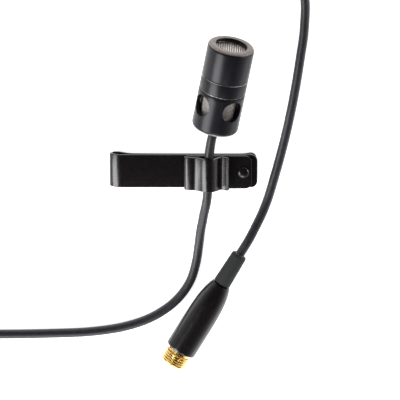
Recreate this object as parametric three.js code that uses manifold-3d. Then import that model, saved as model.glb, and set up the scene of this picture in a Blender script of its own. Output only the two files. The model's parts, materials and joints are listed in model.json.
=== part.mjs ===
// Lavalier microphone: a cylindrical cardioid head on a thin cable, held by a spring tie clip,
// with a gold threaded plug on the far end of the cable. Millimetres, +Z up.
//
// The microphone lies on a flat surface at z = 0. +Y points from the clip towards the head, +X runs
// along the tie bar towards its open end. The origin is under the middle of the head and clip.
import * as THREE from 'three';
import { mergeVertices } from 'three/addons/utils/BufferGeometryUtils.js';
import Module from 'manifold-3d';

const wasm = await Module();
wasm.setup();

// ---------------------------------------------------------------- driving dimensions
const CABLE_R = 1.2;
const CABLE_BORE = 1.36; // of the pieces that grip the cable
const FINE = 40; // facets round a visible turned piece
const COARSE = 20; // facets round a small or inner piece
const GAP = 0.3; // between pieces that rest on each other

// Head: z runs from its rear end to its front ring, in its own turned frame.
const HEAD_R = 6;
const HEAD_LENGTH = 23.7;
const HEAD_REAR = new THREE.Vector3(7.96, -4.2, 5.8);
const HEAD_LIFT = THREE.MathUtils.degToRad(8); // nose up from the surface
const HEAD_LEAN = THREE.MathUtils.degToRad(10.6); // nose towards +X
const HEAD_BORE = 5;
const MOUTH_R = 4.05;
const LIP = 0.95;
const FRONT_ROUND = 0.9;
const REAR_ROUND = 1.2;
const SEAM = 0.15;
const SEAM_FRONT = 14.95; // front cap starts here
const SEAM_REAR = 10.85; // rear shell ends here
const COLLAR_FRONT = SEAM_FRONT + 1.3; // the coupling ring's collars end here, inside
const COLLAR_REAR = SEAM_REAR - 0.6;
const SHELL_FLOOR = 1.2;
const PORT_R = 2.85;
const PORT_Z = 7.25;
const PORT_COUNT = 4;
const PORT_TURN = THREE.MathUtils.degToRad(-53.4);

// Clip: strips of spring steel, folded in the XZ plane and as wide as STRIP along Y.
const STRIP = 8.8;
const SHEET = 0.7;
const BAR_Y = -16.6;
const BAR_END = 19.05;
const BULB_R = 1; // centreline radius of the bar's fold
const BULB = new THREE.Vector2(-17.7, 1.35);
const FRONT_LEAF_Z = 3.05;
const SHOULDER_R = 4; // the front leaf bends down this gently before its fold
const SHOULDER_TURN = 40;
const SHOULDER_X = -15.77;
const JOGGLE_X = -0.3; // the front leaf steps down here, to lie under the holder
const JOGGLE_RUN = 0.3;
const JOGGLE = 0.06;
const HOLDER_BASE_Z = 4.05;
const HOLDER_END = 17.6;
const FOLD_R = 0.63; // centreline radius of the holder's fold
const FOLD = new THREE.Vector2(1.15, 4.68);
const CORNER = 1.7;
const RIVET_X = 15.4;

// Cable where it runs through the holder, and where the head's cable ends inside it.
const CHANNEL_Z = 5.72;
const STUB_END_Y = -16.6;

// Coil of the spare cable: turns spiral in on the lower layer and out again on the upper one.
const COIL = new THREE.Vector3(-72, -42.9, 2);
const COIL_OUTER = 19;
const COIL_INNER = 7.4;
const COIL_LAYER = 2.5;
const TIE_SHEET = 0.5;
const TIE_WIDTH = 4;

// Plug: z runs from the cable's entry to the pins, in its own turned frame.
const PLUG_START = new THREE.Vector3(14.5, -39.2, 3.79);
const PLUG_HEADING = THREE.MathUtils.degToRad(239.4);
const PLUG_LIFT = 0.012; // rise per unit length, so that the barrel lies on its swell
const RELIEF_LENGTH = 8.9;
const BARREL_START = 9.2;
const BARREL_END = 30;
const BARREL_NOSE_R = 2.45;
const BARREL_R = 4.05;
const BARREL_SWELL = 5.5; // how soon the barrel reaches its full radius
const BARREL_WALL = 0.72;
const NECK_R = 2.85;
const THREAD_START = 31.1;
const THREAD_PITCH = 0.66;
const THREAD_RIDGES = 5;
const THREAD_R = 3.35;
const THREAD_ROOT_R = 2.95;
const THREAD_END = THREAD_START + THREAD_PITCH * THREAD_RIDGES;
const PIN_COUNT = 3;
const PIN_RING_R = 1.15;
const PIN_R = 0.33;
const LEAD_R = 0.28;

// Cable routes, chosen by hand: down from the head into the holder, from the holder to the coil,
// and from the coil round to the plug.
const STUB_ROUTE = [
  [7.2, -7.4, 5.76], [6.76, -10.2, CHANNEL_Z], [6.56, -12.7, CHANNEL_Z], [6.42, STUB_END_Y, CHANNEL_Z],
];
const CLIP_ROUTE = [
  [6.25, -21.3, 5.72], [6.1, -23.2, 5.5], [5.75, -25.5, 5], [5.25, -27.9, 4.2], [4.86, -30.4, 3.3],
  [4.44, -32.9, 2.45], [3.95, -37.3, 1.5], [3.2, -42.4, 1.27], [1.5, -47.7, 1.25], [-2.4, -53, 1.25],
  [-8.3, -57.2, 1.25], [-15.4, -59.8, 1.25], [-24.2, -61.2, 1.25], [-34.6, -61.7, 1.25],
  [-45, -61.9, 1.25], [-54, -61.9, 1.4], [-62, -61.9, 2],
];
const PLUG_ROUTE = [
  [-62, -24.1, 3.9], [-57.8, -21.9, 2.8], [-55, -16.6, 1.7], [-53.6, -9, 1.25], [-53.3, 5, 1.25],
  [-53.3, 20, 1.25], [-51.5, 30, 1.25], [-46, 36.5, 1.25], [-37, 38.5, 1.25], [-15, 38.6, 1.25],
  [8, 38.6, 1.25], [20, 38.2, 1.25], [27, 36, 1.25], [30.6, 30.5, 1.25], [30.9, 21.2, 1.25],
  [29.9, 13, 1.25], [28.7, 4.9, 1.25], [27.2, -3.3, 1.25], [25.9, -9.3, 1.25], [24.3, -15.8, 1.25],
  [23.4, -19.1, 1.25], [22.5, -22.4, 1.25], [21.5, -25.6, 1.4], [20.2, -28.8, 1.95],
  [18.6, -32, 2.75], [16.95, -35.1, 3.45], [14.65, -38.94, 3.78],
];

// ---------------------------------------------------------------- materials
const LOOKS = {
  anodised: { color: 0x1b1b20, roughness: 0.38, metalness: 0.6 },
  glossBlack: { color: 0x0c0b0d, roughness: 0.15, metalness: 0.2 },
  cable: { color: 0x1e1d22, roughness: 0.55, metalness: 0 },
  softBlack: { color: 0x26282a, roughness: 0.8, metalness: 0 },
  gold: { color: 0xe0a83c, roughness: 0.25, metalness: 1 },
  steelMesh: { color: 0xc9c1b4, roughness: 0.35, metalness: 1 },
  felt: { color: 0x2b2826, roughness: 1, metalness: 0 },
  canMetal: { color: 0xb4b6b8, roughness: 0.35, metalness: 1 },
  film: { color: 0xd8c27a, roughness: 0.2, metalness: 1 },
  board: { color: 0x1d5a36, roughness: 0.6, metalness: 0 },
  insulator: { color: 0x16161a, roughness: 0.45, metalness: 0 },
  leadRed: { color: 0xa32020, roughness: 0.5, metalness: 0 },
  leadWhite: { color: 0xd9d6cf, roughness: 0.5, metalness: 0 },
  leadBare: { color: 0xb87333, roughness: 0.4, metalness: 1 },
};

function piece(name, geometry, look) {
  const mesh = new THREE.Mesh(geometry, new THREE.MeshStandardMaterial(LOOKS[look]));
  mesh.name = name;
  return mesh;
}

// ---------------------------------------------------------------- geometry helpers
function signedVolume(geometry) {
  const flat = geometry.index ? geometry.toNonIndexed() : geometry;
  const position = flat.getAttribute('position');
  const corners = [new THREE.Vector3(), new THREE.Vector3(), new THREE.Vector3()];
  let volume = 0;
  for (let i = 0; i < position.count; i += 3) {
    corners.forEach((corner, k) => corner.fromBufferAttribute(position, i + k));
    volume += corners[0].dot(corners[1].cross(corners[2])) / 6;
  }
  return volume;
}

// Welds the shared corners and turns the faces outwards.
function closed(geometry) {
  const bare = geometry.clone();
  bare.deleteAttribute('normal');
  bare.deleteAttribute('uv');
  const welded = mergeVertices(bare, 1e-4);
  if (signedVolume(welded) < 0) {
    const index = welded.index.array;
    for (let i = 0; i < index.length; i += 3) {
      [index[i], index[i + 1]] = [index[i + 1], index[i]];
    }
  }
  return welded;
}

function toSolid(geometry) {
  const mesh = closed(geometry);
  const vertProperties = new Float32Array(mesh.getAttribute('position').array);
  const triVerts = new Uint32Array(mesh.index.array);
  return new wasm.Manifold(new wasm.Mesh({ numProp: 3, vertProperties, triVerts }));
}

function toGeometry(solid) {
  const { vertProperties, triVerts } = solid.getMesh();
  const geometry = new THREE.BufferGeometry();
  geometry.setAttribute('position', new THREE.BufferAttribute(vertProperties, 3));
  geometry.setIndex(new THREE.BufferAttribute(triVerts, 1));
  return geometry;
}

function cut(body, tools) {
  return toGeometry(tools.reduce((solid, tool) => solid.subtract(toSolid(tool)), toSolid(body)));
}

// A closed outline of [radius, height] points turned about Z.
function turned(outline, facets = FINE) {
  const points = [...outline, outline[0]].map(([r, z]) => new THREE.Vector2(r, z));
  return closed(new THREE.LatheGeometry(points, facets).rotateX(Math.PI / 2));
}

// A ring or, with no inner radius, a disc.
function ring(inner, outer, low, high, facets = COARSE) {
  if (inner > 0) {
    return turned([[inner, low], [outer, low], [outer, high], [inner, high]], facets);
  }
  const points = [[0, low], [outer, low], [outer, high], [0, high]];
  const profile = points.map(([r, z]) => new THREE.Vector2(r, z));
  return closed(new THREE.LatheGeometry(profile, facets).rotateX(Math.PI / 2));
}

// Points on a quarter round from one angle to another, as [radius, height] pairs.
function roundOff(centreR, centreZ, radius, from, to, steps = 4) {
  return Array.from({ length: steps + 1 }, (_, i) => {
    const angle = THREE.MathUtils.degToRad(from + ((to - from) * i) / steps);
    return [centreR + radius * Math.cos(angle), centreZ + radius * Math.sin(angle)];
  });
}

function vectors(route) {
  return route.map(([x, y, z]) => new THREE.Vector3(x, y, z));
}

// A round tube along a smooth curve through the points.
function tube(points, radius, steps, sides = 8) {
  const section = Array.from({ length: sides }, (_, i) => {
    const angle = (2 * Math.PI * i) / sides;
    return new THREE.Vector2(radius * Math.cos(angle), radius * Math.sin(angle));
  });
  const extrudePath = new THREE.CatmullRomCurve3(points, false, 'centripetal');
  const settings = { steps, extrudePath, bevelEnabled: false };
  return closed(new THREE.ExtrudeGeometry(new THREE.Shape(section), settings));
}

// An arc in the XZ plane, as centreline points, from one angle to another in degrees.
function arc(centre, radius, from, to, steps) {
  return Array.from({ length: steps + 1 }, (_, i) => {
    const angle = THREE.MathUtils.degToRad(from + ((to - from) * i) / steps);
    return new THREE.Vector2(centre.x + radius * Math.cos(angle), centre.y + radius * Math.sin(angle));
  });
}

// A folded strip: its centreline in the XZ plane, thickened to the sheet and as wide as STRIP.
function strip(centreline) {
  const normals = centreline.map((_, i) => {
    const before = centreline[Math.max(i - 1, 0)];
    const after = centreline[Math.min(i + 1, centreline.length - 1)];
    return new THREE.Vector2(before.y - after.y, after.x - before.x).setLength(SHEET / 2);
  });
  const upper = centreline.map((point, i) => point.clone().add(normals[i]));
  const lower = centreline.map((point, i) => point.clone().sub(normals[i]));
  const shape = new THREE.Shape([...upper, ...lower.reverse()]);
  const folded = new THREE.ExtrudeGeometry(shape, { depth: STRIP, bevelEnabled: false });
  return folded.rotateX(Math.PI / 2).translate(0, BAR_Y + STRIP / 2, 0);
}

// Rounds the strip's two corners at its right-hand end.
function roundCorners(geometry, end) {
  const left = -BAR_END - 1;
  const low = BAR_Y - STRIP / 2;
  const high = BAR_Y + STRIP / 2;
  const margin = 1;
  const shape = new THREE.Shape();
  shape.moveTo(left, low - margin);
  shape.lineTo(end - CORNER, low - margin);
  shape.lineTo(end - CORNER, low);
  shape.absarc(end - CORNER, low + CORNER, CORNER, -Math.PI / 2, 0);
  shape.absarc(end - CORNER, high - CORNER, CORNER, 0, Math.PI / 2);
  shape.lineTo(end - CORNER, high + margin);
  shape.lineTo(left, high + margin);
  const prism = new THREE.ExtrudeGeometry(shape, { depth: 12, bevelEnabled: false, curveSegments: 6 });
  return toGeometry(toSolid(geometry).intersect(toSolid(prism.translate(0, 0, -2))));
}

function smooth(points, steps) {
  return new THREE.SplineCurve(points.map(([x, z]) => new THREE.Vector2(x, z))).getPoints(steps);
}

// ---------------------------------------------------------------- microphone head
function frontCap() {
  const outline = [
    [MOUTH_R, HEAD_LENGTH],
    ...roundOff(HEAD_R - FRONT_ROUND, HEAD_LENGTH - FRONT_ROUND, FRONT_ROUND, 90, 0),
    [HEAD_R, SEAM_FRONT],
    [HEAD_BORE, SEAM_FRONT],
    [HEAD_BORE, HEAD_LENGTH - LIP],
    [MOUTH_R, HEAD_LENGTH - LIP],
  ];
  return piece('front_cap', turned(outline), 'anodised');
}

function frontScreens() {
  const grilleTop = HEAD_LENGTH - LIP - GAP;
  const feltTop = grilleTop - 2 * GAP;
  return [
    piece('front_grille', ring(0, HEAD_BORE - 0.1, grilleTop - GAP, grilleTop), 'steelMesh'),
    piece('front_felt', ring(0, HEAD_BORE - 0.1, feltTop - 0.4, feltTop), 'felt'),
  ];
}

function capsule() {
  const can = [[1.3, 21.1], [4.55, 21.1], [4.55, 16.6], [4.15, 16.6], [4.15, 20.7], [1.3, 20.7]];
  return [
    piece('capsule_can', turned(can, 32), 'canMetal'),
    piece('capsule_diaphragm', ring(0, 4, 20.2, 20.4), 'film'),
    piece('capsule_backplate', ring(0, 3.9, 19.2, 19.9), 'canMetal'),
    piece('capsule_spacer', ring(3.2, 4, 17.6, 18.9), 'insulator'),
    piece('capsule_board', ring(0, 4, 16.7, 17.3), 'board'),
    piece('capsule_gasket', ring(4.62, 4.93, 17, 20, 32), 'softBlack'),
  ];
}

function couplingRing() {
  const collar = 4.6;
  const frontCollar = HEAD_BORE - 0.07;
  const bore = 4.1;
  const outline = [
    [bore, COLLAR_REAR], [collar, COLLAR_REAR], [collar, SEAM_REAR + SEAM],
    [HEAD_R, SEAM_REAR + SEAM], [HEAD_R, SEAM_FRONT - SEAM], [frontCollar, SEAM_FRONT - SEAM],
    [frontCollar, COLLAR_FRONT], [bore, COLLAR_FRONT],
  ];
  return piece('coupling_ring', turned(outline), 'anodised');
}

function rearShell() {
  const cableHole = 1.9;
  const outline = [
    [cableHole, 0], ...roundOff(HEAD_R - REAR_ROUND, REAR_ROUND, REAR_ROUND, -90, 0),
    [HEAD_R, SEAM_REAR], [HEAD_BORE, SEAM_REAR], [HEAD_BORE, SHELL_FLOOR], [cableHole, SHELL_FLOOR],
  ];
  const ports = Array.from({ length: PORT_COUNT }, (_, i) => {
    const port = new THREE.CylinderGeometry(PORT_R, PORT_R, 4, 28).rotateZ(Math.PI / 2);
    port.translate(HEAD_R - 0.5, 0, PORT_Z);
    return port.rotateZ(PORT_TURN + (i * 2 * Math.PI) / PORT_COUNT);
  });
  return piece('rear_shell', cut(turned(outline), ports), 'anodised');
}

function rearFittings() {
  const bushing = [
    [CABLE_BORE, -0.35], [1.8, -0.35], [1.8, 1.5], [2.7, 1.5], [2.7, 2.3], [CABLE_BORE, 2.3],
  ];
  return [
    piece('port_screen', ring(4.15, 4.35, SHELL_FLOOR + 0.2, COLLAR_REAR - SEAM, FINE), 'steelMesh'),
    piece('cable_bushing', turned(bushing, 24), 'softBlack'),
  ];
}

// Three wires from the cable's cut end up to the capsule's board.
function capsuleLeads() {
  const colours = ['leadRed', 'leadWhite', 'leadBare'];
  return colours.map((look, i) => {
    const angle = (2 * Math.PI * i) / colours.length;
    const at = (r, z) => new THREE.Vector3(r * Math.cos(angle), r * Math.sin(angle), z);
    const route = [at(0.6, 5.4), at(0.9, 8), at(2, 11.5), at(2.4, 14.5), at(2.4, 16.4)];
    return piece(`capsule_lead_${i + 1}`, tube(route, LEAD_R, 8, 6), look);
  });
}

function head() {
  const group = new THREE.Group();
  group.rotation.set(HEAD_LIFT - Math.PI / 2, 0, -HEAD_LEAN, 'ZXY');
  group.position.copy(HEAD_REAR);
  group.add(frontCap(), ...frontScreens(), ...capsule(), couplingRing(), rearShell());
  group.add(...rearFittings(), ...capsuleLeads());
  return group;
}

// The cable from inside the head down into the holder, and the ferrule crimped on it in the head.
function headCable() {
  const axis = new THREE.Vector3(
    Math.sin(HEAD_LEAN) * Math.cos(HEAD_LIFT),
    Math.cos(HEAD_LEAN) * Math.cos(HEAD_LIFT),
    Math.sin(HEAD_LIFT),
  );
  const inHead = (z) => HEAD_REAR.clone().addScaledVector(axis, z);
  const route = [inHead(5), inHead(3), inHead(1.2), inHead(-0.6), ...vectors(STUB_ROUTE)];
  const ferrule = ring(CABLE_BORE, 2, 2.7, 4.4);
  ferrule.applyQuaternion(new THREE.Quaternion().setFromUnitVectors(new THREE.Vector3(0, 0, 1), axis));
  ferrule.translate(HEAD_REAR.x, HEAD_REAR.y, HEAD_REAR.z);
  return [
    piece('head_cable', tube(route, CABLE_R, 16), 'cable'),
    piece('cable_ferrule', ferrule, 'canMetal'),
  ];
}

// ---------------------------------------------------------------- tie clip
function frontLeaf() {
  const fold = arc(BULB, BULB_R, 212, 90 + SHOULDER_TURN, 8);
  const under = new THREE.Vector2(SHOULDER_X, FRONT_LEAF_Z - SHOULDER_R);
  const shoulder = arc(under, SHOULDER_R, 90 + SHOULDER_TURN, 90, 8).slice(1);
  const held = FRONT_LEAF_Z - JOGGLE;
  const flat = [[JOGGLE_X, FRONT_LEAF_Z], [JOGGLE_X + JOGGLE_RUN, held], [RIVET_X, held], [BAR_END, held]];
  const corners = flat.map(([x, z]) => new THREE.Vector2(x, z));
  return roundCorners(strip([...fold, ...shoulder, ...corners]), BAR_END);
}

function rearLeaf() {
  const fold = arc(BULB, BULB_R, 232, 270, 4);
  const run = [
    [-16.4, 0.5], [-15.2, 1.2], [-13.9, 1.75], [-11, 2], [-5, 2.1], [5, 2.15], [13, 2.18],
    [15.4, 2.1], [16.4, 1.75], [17.6, 1], [18.7, 0.38],
  ];
  const leaf = strip([...fold, ...smooth(run, 24)]);
  return roundCorners(leaf, BAR_END);
}

function holderBase() {
  const fold = arc(FOLD, FOLD_R, 228, 270, 4);
  const end = [new THREE.Vector2(RIVET_X, HOLDER_BASE_Z), new THREE.Vector2(HOLDER_END, HOLDER_BASE_Z)];
  return roundCorners(strip([...fold, ...end]), HOLDER_END);
}

// The sprung tongue: back over the base, up over the cable, down to the base and up in a lip.
function holderSpring() {
  const fold = arc(FOLD, FOLD_R, 200, 112, 7);
  const hump = [
    [1.45, 5.42], [2.1, 5.55], [2.8, 5.6], [3.5, 5.85], [4.4, 6.45], [5.4, 7.2], [6.45, 7.5],
    [7.5, 7.15], [8.5, 6.2], [9.2, 5.35], [9.8, 5.08], [10.6, 5.42], [11.6, 6.15],
  ];
  return strip([...fold, ...smooth(hump, 30)]);
}

function rivet() {
  const shank = 0.8;
  const dome = 1.45;
  const outline = [
    [0, 2.8], [shank, 2.8], [shank, 4.5], [dome, 4.5], [dome, 4.65], [1.1, 4.9], [0.5, 5.02], [0, 5.05],
  ];
  const profile = outline.map(([r, z]) => new THREE.Vector2(r, z));
  return closed(new THREE.LatheGeometry(profile, 24).rotateX(Math.PI / 2)).translate(RIVET_X, BAR_Y, 0);
}

function clip() {
  const hole = () => ring(0, 0.9, 1.5, 6, 24).translate(RIVET_X, BAR_Y, 0);
  const leafHole = () => ring(0, 0.9, 2.65, 3.5, 24).translate(RIVET_X, BAR_Y, 0);
  return [
    piece('front_leaf', cut(frontLeaf(), [leafHole()]), 'glossBlack'),
    piece('rear_leaf', closed(rearLeaf()), 'glossBlack'),
    piece('holder_base', cut(holderBase(), [hole()]), 'glossBlack'),
    piece('holder_spring', closed(holderSpring()), 'glossBlack'),
    piece('holder_rivet', rivet(), 'glossBlack'),
  ];
}

// ---------------------------------------------------------------- free cable and coil
function coilRing() {
  const low = COIL.z - CABLE_R;
  const high = COIL.z + COIL_LAYER + CABLE_R;
  const solid = ring(COIL_INNER - CABLE_R, COIL_OUTER + CABLE_R, low, high, 32);
  return piece('cable_coil', solid.translate(COIL.x, COIL.y, 0), 'cable');
}

function box(left, right, low, high) {
  const points = [[left, low], [right, low], [right, high], [left, high]];
  return points.map(([x, z]) => new THREE.Vector2(x, z));
}

// A flat band round the bundle of turns, on one side of the coil.
function coilTie(name, side) {
  const inner = COIL_INNER - CABLE_R - 2.5 * GAP; // clear of the ring's curve across the band
  const outer = COIL_OUTER + CABLE_R + GAP;
  const top = COIL.z + COIL_LAYER + CABLE_R + GAP;
  const shape = new THREE.Shape(box(inner - TIE_SHEET, outer + TIE_SHEET, 0, top + TIE_SHEET));
  shape.holes.push(new THREE.Path(box(inner, outer, TIE_SHEET, top)));
  const band = new THREE.ExtrudeGeometry(shape, { depth: TIE_WIDTH, bevelEnabled: false });
  band.rotateX(Math.PI / 2).translate(0, TIE_WIDTH / 2, 0).rotateZ(side);
  return piece(name, closed(band.translate(COIL.x, COIL.y, 0)), 'softBlack');
}

function freeCable() {
  return [
    piece('cable_clip_run', tube(vectors(CLIP_ROUTE), CABLE_R, 26), 'cable'),
    coilRing(),
    piece('cable_plug_run', tube(vectors(PLUG_ROUTE), CABLE_R, 48), 'cable'),
    coilTie('coil_tie_right', 0),
    coilTie('coil_tie_left', Math.PI),
  ];
}

// ---------------------------------------------------------------- plug
function barrelRadius(z) {
  const along = Math.min((z - BARREL_START) / (BARREL_END - BARREL_START), 1);
  return BARREL_NOSE_R + (BARREL_R - BARREL_NOSE_R) * (1 - (1 - along) ** BARREL_SWELL);
}

function barrel() {
  const steps = 12;
  const step = (BARREL_END - BARREL_START) / steps;
  const stations = Array.from({ length: steps + 1 }, (_, i) => BARREL_START + i * step);
  const outside = stations.map((z) => [barrelRadius(z), z]);
  const inside = stations.slice(2).reverse().map((z) => [barrelRadius(z) - BARREL_WALL, z]);
  const throat = [[1.75, BARREL_START + 1.8], [1.75, BARREL_START]];
  return piece('plug_barrel', turned([...outside, ...inside, ...throat], 32), 'glossBlack');
}

function strainRelief() {
  const neckEnd = BARREL_START + 1.4;
  const outline = [
    [CABLE_BORE, 0], [1.85, 0], [2, 0.2], [2.25, RELIEF_LENGTH], [1.65, RELIEF_LENGTH],
    [1.65, neckEnd], [CABLE_BORE, neckEnd],
  ];
  return piece('plug_strain_relief', turned(outline, 28), 'softBlack');
}

// Threaded shell: a collar inside the barrel, a slotted neck and the thread's ridges.
function threadedShell() {
  const collar = BARREL_R - BARREL_WALL - 0.1;
  const bore = 2.35;
  const crests = Array.from({ length: THREAD_RIDGES }, (_, i) => {
    const z = THREAD_START + i * THREAD_PITCH;
    const crest = [z + THREAD_PITCH * 0.35, z + THREAD_PITCH * 0.65];
    return [[THREAD_ROOT_R, z], [THREAD_R, crest[0]], [THREAD_R, crest[1]]];
  }).flat();
  const outline = [
    [bore, BARREL_END - 3], [collar, BARREL_END - 3], [collar, BARREL_END + GAP],
    [NECK_R, BARREL_END + GAP], [NECK_R, THREAD_START], ...crests,
    [THREAD_ROOT_R, THREAD_END], [bore, THREAD_END],
  ];
  const slots = [0, 1, 2, 3].map((i) => {
    const slot = new THREE.BoxGeometry(1, 1.2, 0.55).translate(NECK_R + 0.25, 0, BARREL_END + 0.7);
    return slot.rotateZ((i * Math.PI) / 2 + Math.PI / 4);
  });
  return piece('plug_threaded_shell', cut(turned(outline, 32), slots), 'gold');
}

function pinPlace(i) {
  const angle = (2 * Math.PI * i) / PIN_COUNT + Math.PI / 2;
  return [PIN_RING_R * Math.cos(angle), PIN_RING_R * Math.sin(angle)];
}

function contacts() {
  const face = THREAD_END - 0.9;
  const holes = Array.from({ length: PIN_COUNT }, (_, i) => {
    const [x, y] = pinPlace(i);
    return ring(0, PIN_R + 0.07, 25, 36, 12).translate(x, y, 0);
  });
  const insulator = cut(ring(0, 2.25, BARREL_END - 1, face, 28), holes);
  const pins = Array.from({ length: PIN_COUNT }, (_, i) => {
    const [x, y] = pinPlace(i);
    const pin = ring(0, PIN_R, BARREL_END - 2.4, THREAD_END + 0.5, 10).translate(x, y, 0);
    return piece(`plug_pin_${i + 1}`, pin, 'gold');
  });
  return [piece('plug_insulator', insulator, 'insulator'), ...pins];
}

// Inside the barrel: the end of the cable, the clamp on it and the wires to the pins.
function plugCore() {
  const colours = ['leadRed', 'leadWhite', 'leadBare'];
  const leads = colours.map((look, i) => {
    const [x, y] = pinPlace(i);
    const at = (k, z) => new THREE.Vector3(x * k, y * k, z);
    const route = [at(0.5, 15.2), at(0.7, 18), at(1.2, 22), at(1, 25), at(1, 26.8)];
    return piece(`plug_lead_${i + 1}`, tube(route, LEAD_R, 7, 6), look);
  });
  return [
    piece('plug_cable_end', ring(0, CABLE_R, 0, 14.8, 16), 'cable'),
    piece('plug_cable_clamp', ring(CABLE_BORE, 1.9, BARREL_START + 2.4, BARREL_START + 4.6), 'canMetal'),
    ...leads,
  ];
}

function plug() {
  const group = new THREE.Group();
  const flat = Math.sqrt(1 - PLUG_LIFT ** 2);
  const axis = new THREE.Vector3(
    Math.cos(PLUG_HEADING) * flat,
    Math.sin(PLUG_HEADING) * flat,
    PLUG_LIFT,
  );
  group.quaternion.setFromUnitVectors(new THREE.Vector3(0, 0, 1), axis);
  group.position.copy(PLUG_START);
  group.add(strainRelief(), barrel(), threadedShell(), ...contacts(), ...plugCore());
  return group;
}

// ---------------------------------------------------------------- assembly
const microphone = new THREE.Group();
microphone.add(head(), ...headCable(), ...clip(), ...freeCable(), plug());

export default microphone;
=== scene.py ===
"""Lavalier microphone: the visual model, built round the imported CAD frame. Lengths are in millimetres
until MM turns them into metres. The camera and the lamps are in metres."""

import json
import math

import bmesh
import bpy
import numpy as np
from mathutils import Matrix, Vector


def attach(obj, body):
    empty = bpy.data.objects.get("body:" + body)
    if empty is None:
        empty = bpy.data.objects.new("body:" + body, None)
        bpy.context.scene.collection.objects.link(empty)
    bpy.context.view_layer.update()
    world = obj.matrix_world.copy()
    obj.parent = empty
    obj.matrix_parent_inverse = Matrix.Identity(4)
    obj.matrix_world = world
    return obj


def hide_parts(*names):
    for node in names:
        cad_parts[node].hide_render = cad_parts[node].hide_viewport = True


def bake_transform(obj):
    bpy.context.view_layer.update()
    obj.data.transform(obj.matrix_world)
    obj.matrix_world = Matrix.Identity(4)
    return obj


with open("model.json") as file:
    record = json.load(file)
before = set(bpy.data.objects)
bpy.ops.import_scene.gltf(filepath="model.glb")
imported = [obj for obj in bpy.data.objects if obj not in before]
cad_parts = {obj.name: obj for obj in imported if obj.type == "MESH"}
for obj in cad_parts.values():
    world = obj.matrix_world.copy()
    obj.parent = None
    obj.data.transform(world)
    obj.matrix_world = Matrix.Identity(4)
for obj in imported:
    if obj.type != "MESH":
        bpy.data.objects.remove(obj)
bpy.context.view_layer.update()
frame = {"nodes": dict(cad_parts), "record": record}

MM = 0.001
TURN = 2 * math.pi
ROUNDING_STEPS = 4

# ---------------------------------------------------------------- driving dimensions
CABLE_R = 1.2
HEAD_R = 6.0
HEAD_LENGTH = 23.7
HEAD_REAR = Vector((7.96, -4.2, 5.8))
HEAD_LIFT = math.radians(8)
HEAD_LEAN = math.radians(10.6)
HEAD_BORE = 5.0
SEAM = 0.15
SEAM_FRONT = 14.95
SEAM_REAR = 10.85
COLLAR_REAR = SEAM_REAR - 0.6
COLLAR_FRONT = SEAM_FRONT + 1.3
SLIDING_R = HEAD_BORE - 0.07  # of what goes into the head's bore
MOUTH_R = 4.05
MOUTH_ROUND = 0.25
LIP = 0.95
FRONT_ROUND = 0.9
REAR_ROUND = 1.2
SHELL_FLOOR = 1.2
PORT_R = 2.85
PORT_Z = 7.25
PORT_COUNT = 4
PORT_TURN = math.radians(-53.4)
SCREEN_R = 4.25
SCREEN_WIRE_R = 0.07
SCREEN_WIRES = 48  # in each hand
RIB_START = math.radians(34)  # from a port's middle to the rib beside it
WIRE_R = 0.15
CROSS_WIRE_R = 0.05
WIRE_PITCH = 0.58

STRIP = 8.8
SHEET = 0.7
BAR_Y = -16.6
BAR_END = 19.05
BULB = (-17.7, 1.35)
BULB_R = 1.0
BULB_FRONT_START = 212  # degrees round the bulb, as for the next
BULB_REAR = (232, 262)
SHOULDER_R = 4.0
SHOULDER_TURN = 40
SHOULDER_X = -15.77
FRONT_LEAF_Z = 3.05
JOGGLE_X = -0.3
JOGGLE_RUN = 0.3
JOGGLE = 0.06
HOLDER_BASE_Z = 4.05
HOLDER_END = 17.6
FOLD = (1.15, 4.68)
FOLD_R = 0.63
FOLD_BASE = (228, 270)  # degrees round the holder's fold, as for the next
FOLD_SPRING = (200, 112)
CORNER = 1.7  # rounding of a strip's end seen from the front
FOLD_CORNER = 0.2
TONGUE_CORNER = 0.35
RIVET_X = 15.4

COIL = Vector((-72, -42.9, 2))
COIL_OUTER = 19.0
COIL_PITCH = 2.45
COIL_TURNS = 4.75
COIL_LAYER = 2.5
TIE_WIDTH = 4.0
TIE_SHEET = 0.5
TIE_INNER_GAP = 0.7
TIE_GAP = 0.3

PLUG_START = Vector((14.5, -39.2, 3.79))
PLUG_HEADING = math.radians(239.4)
PLUG_LIFT = 0.012
RELIEF_LENGTH = 8.9
BARREL_START = 9.2
BARREL_END = 30.0
BARREL_NOSE_R = 2.45
BARREL_R = 4.05
BARREL_SWELL = 5.5
BARREL_WALL = 0.72
NECK_R = 2.85
SLOT_ROOT_R = 2.55
SLOT_WIDTH = 1.2
THREAD_START = 31.1
THREAD_PITCH = 0.66
THREAD_END = THREAD_START + 5 * THREAD_PITCH
THREAD_R = 3.35
THREAD_ROOT_R = 2.95
PIN_COUNT = 3
PIN_RING_R = 1.15
PIN_R = 0.33

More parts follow.
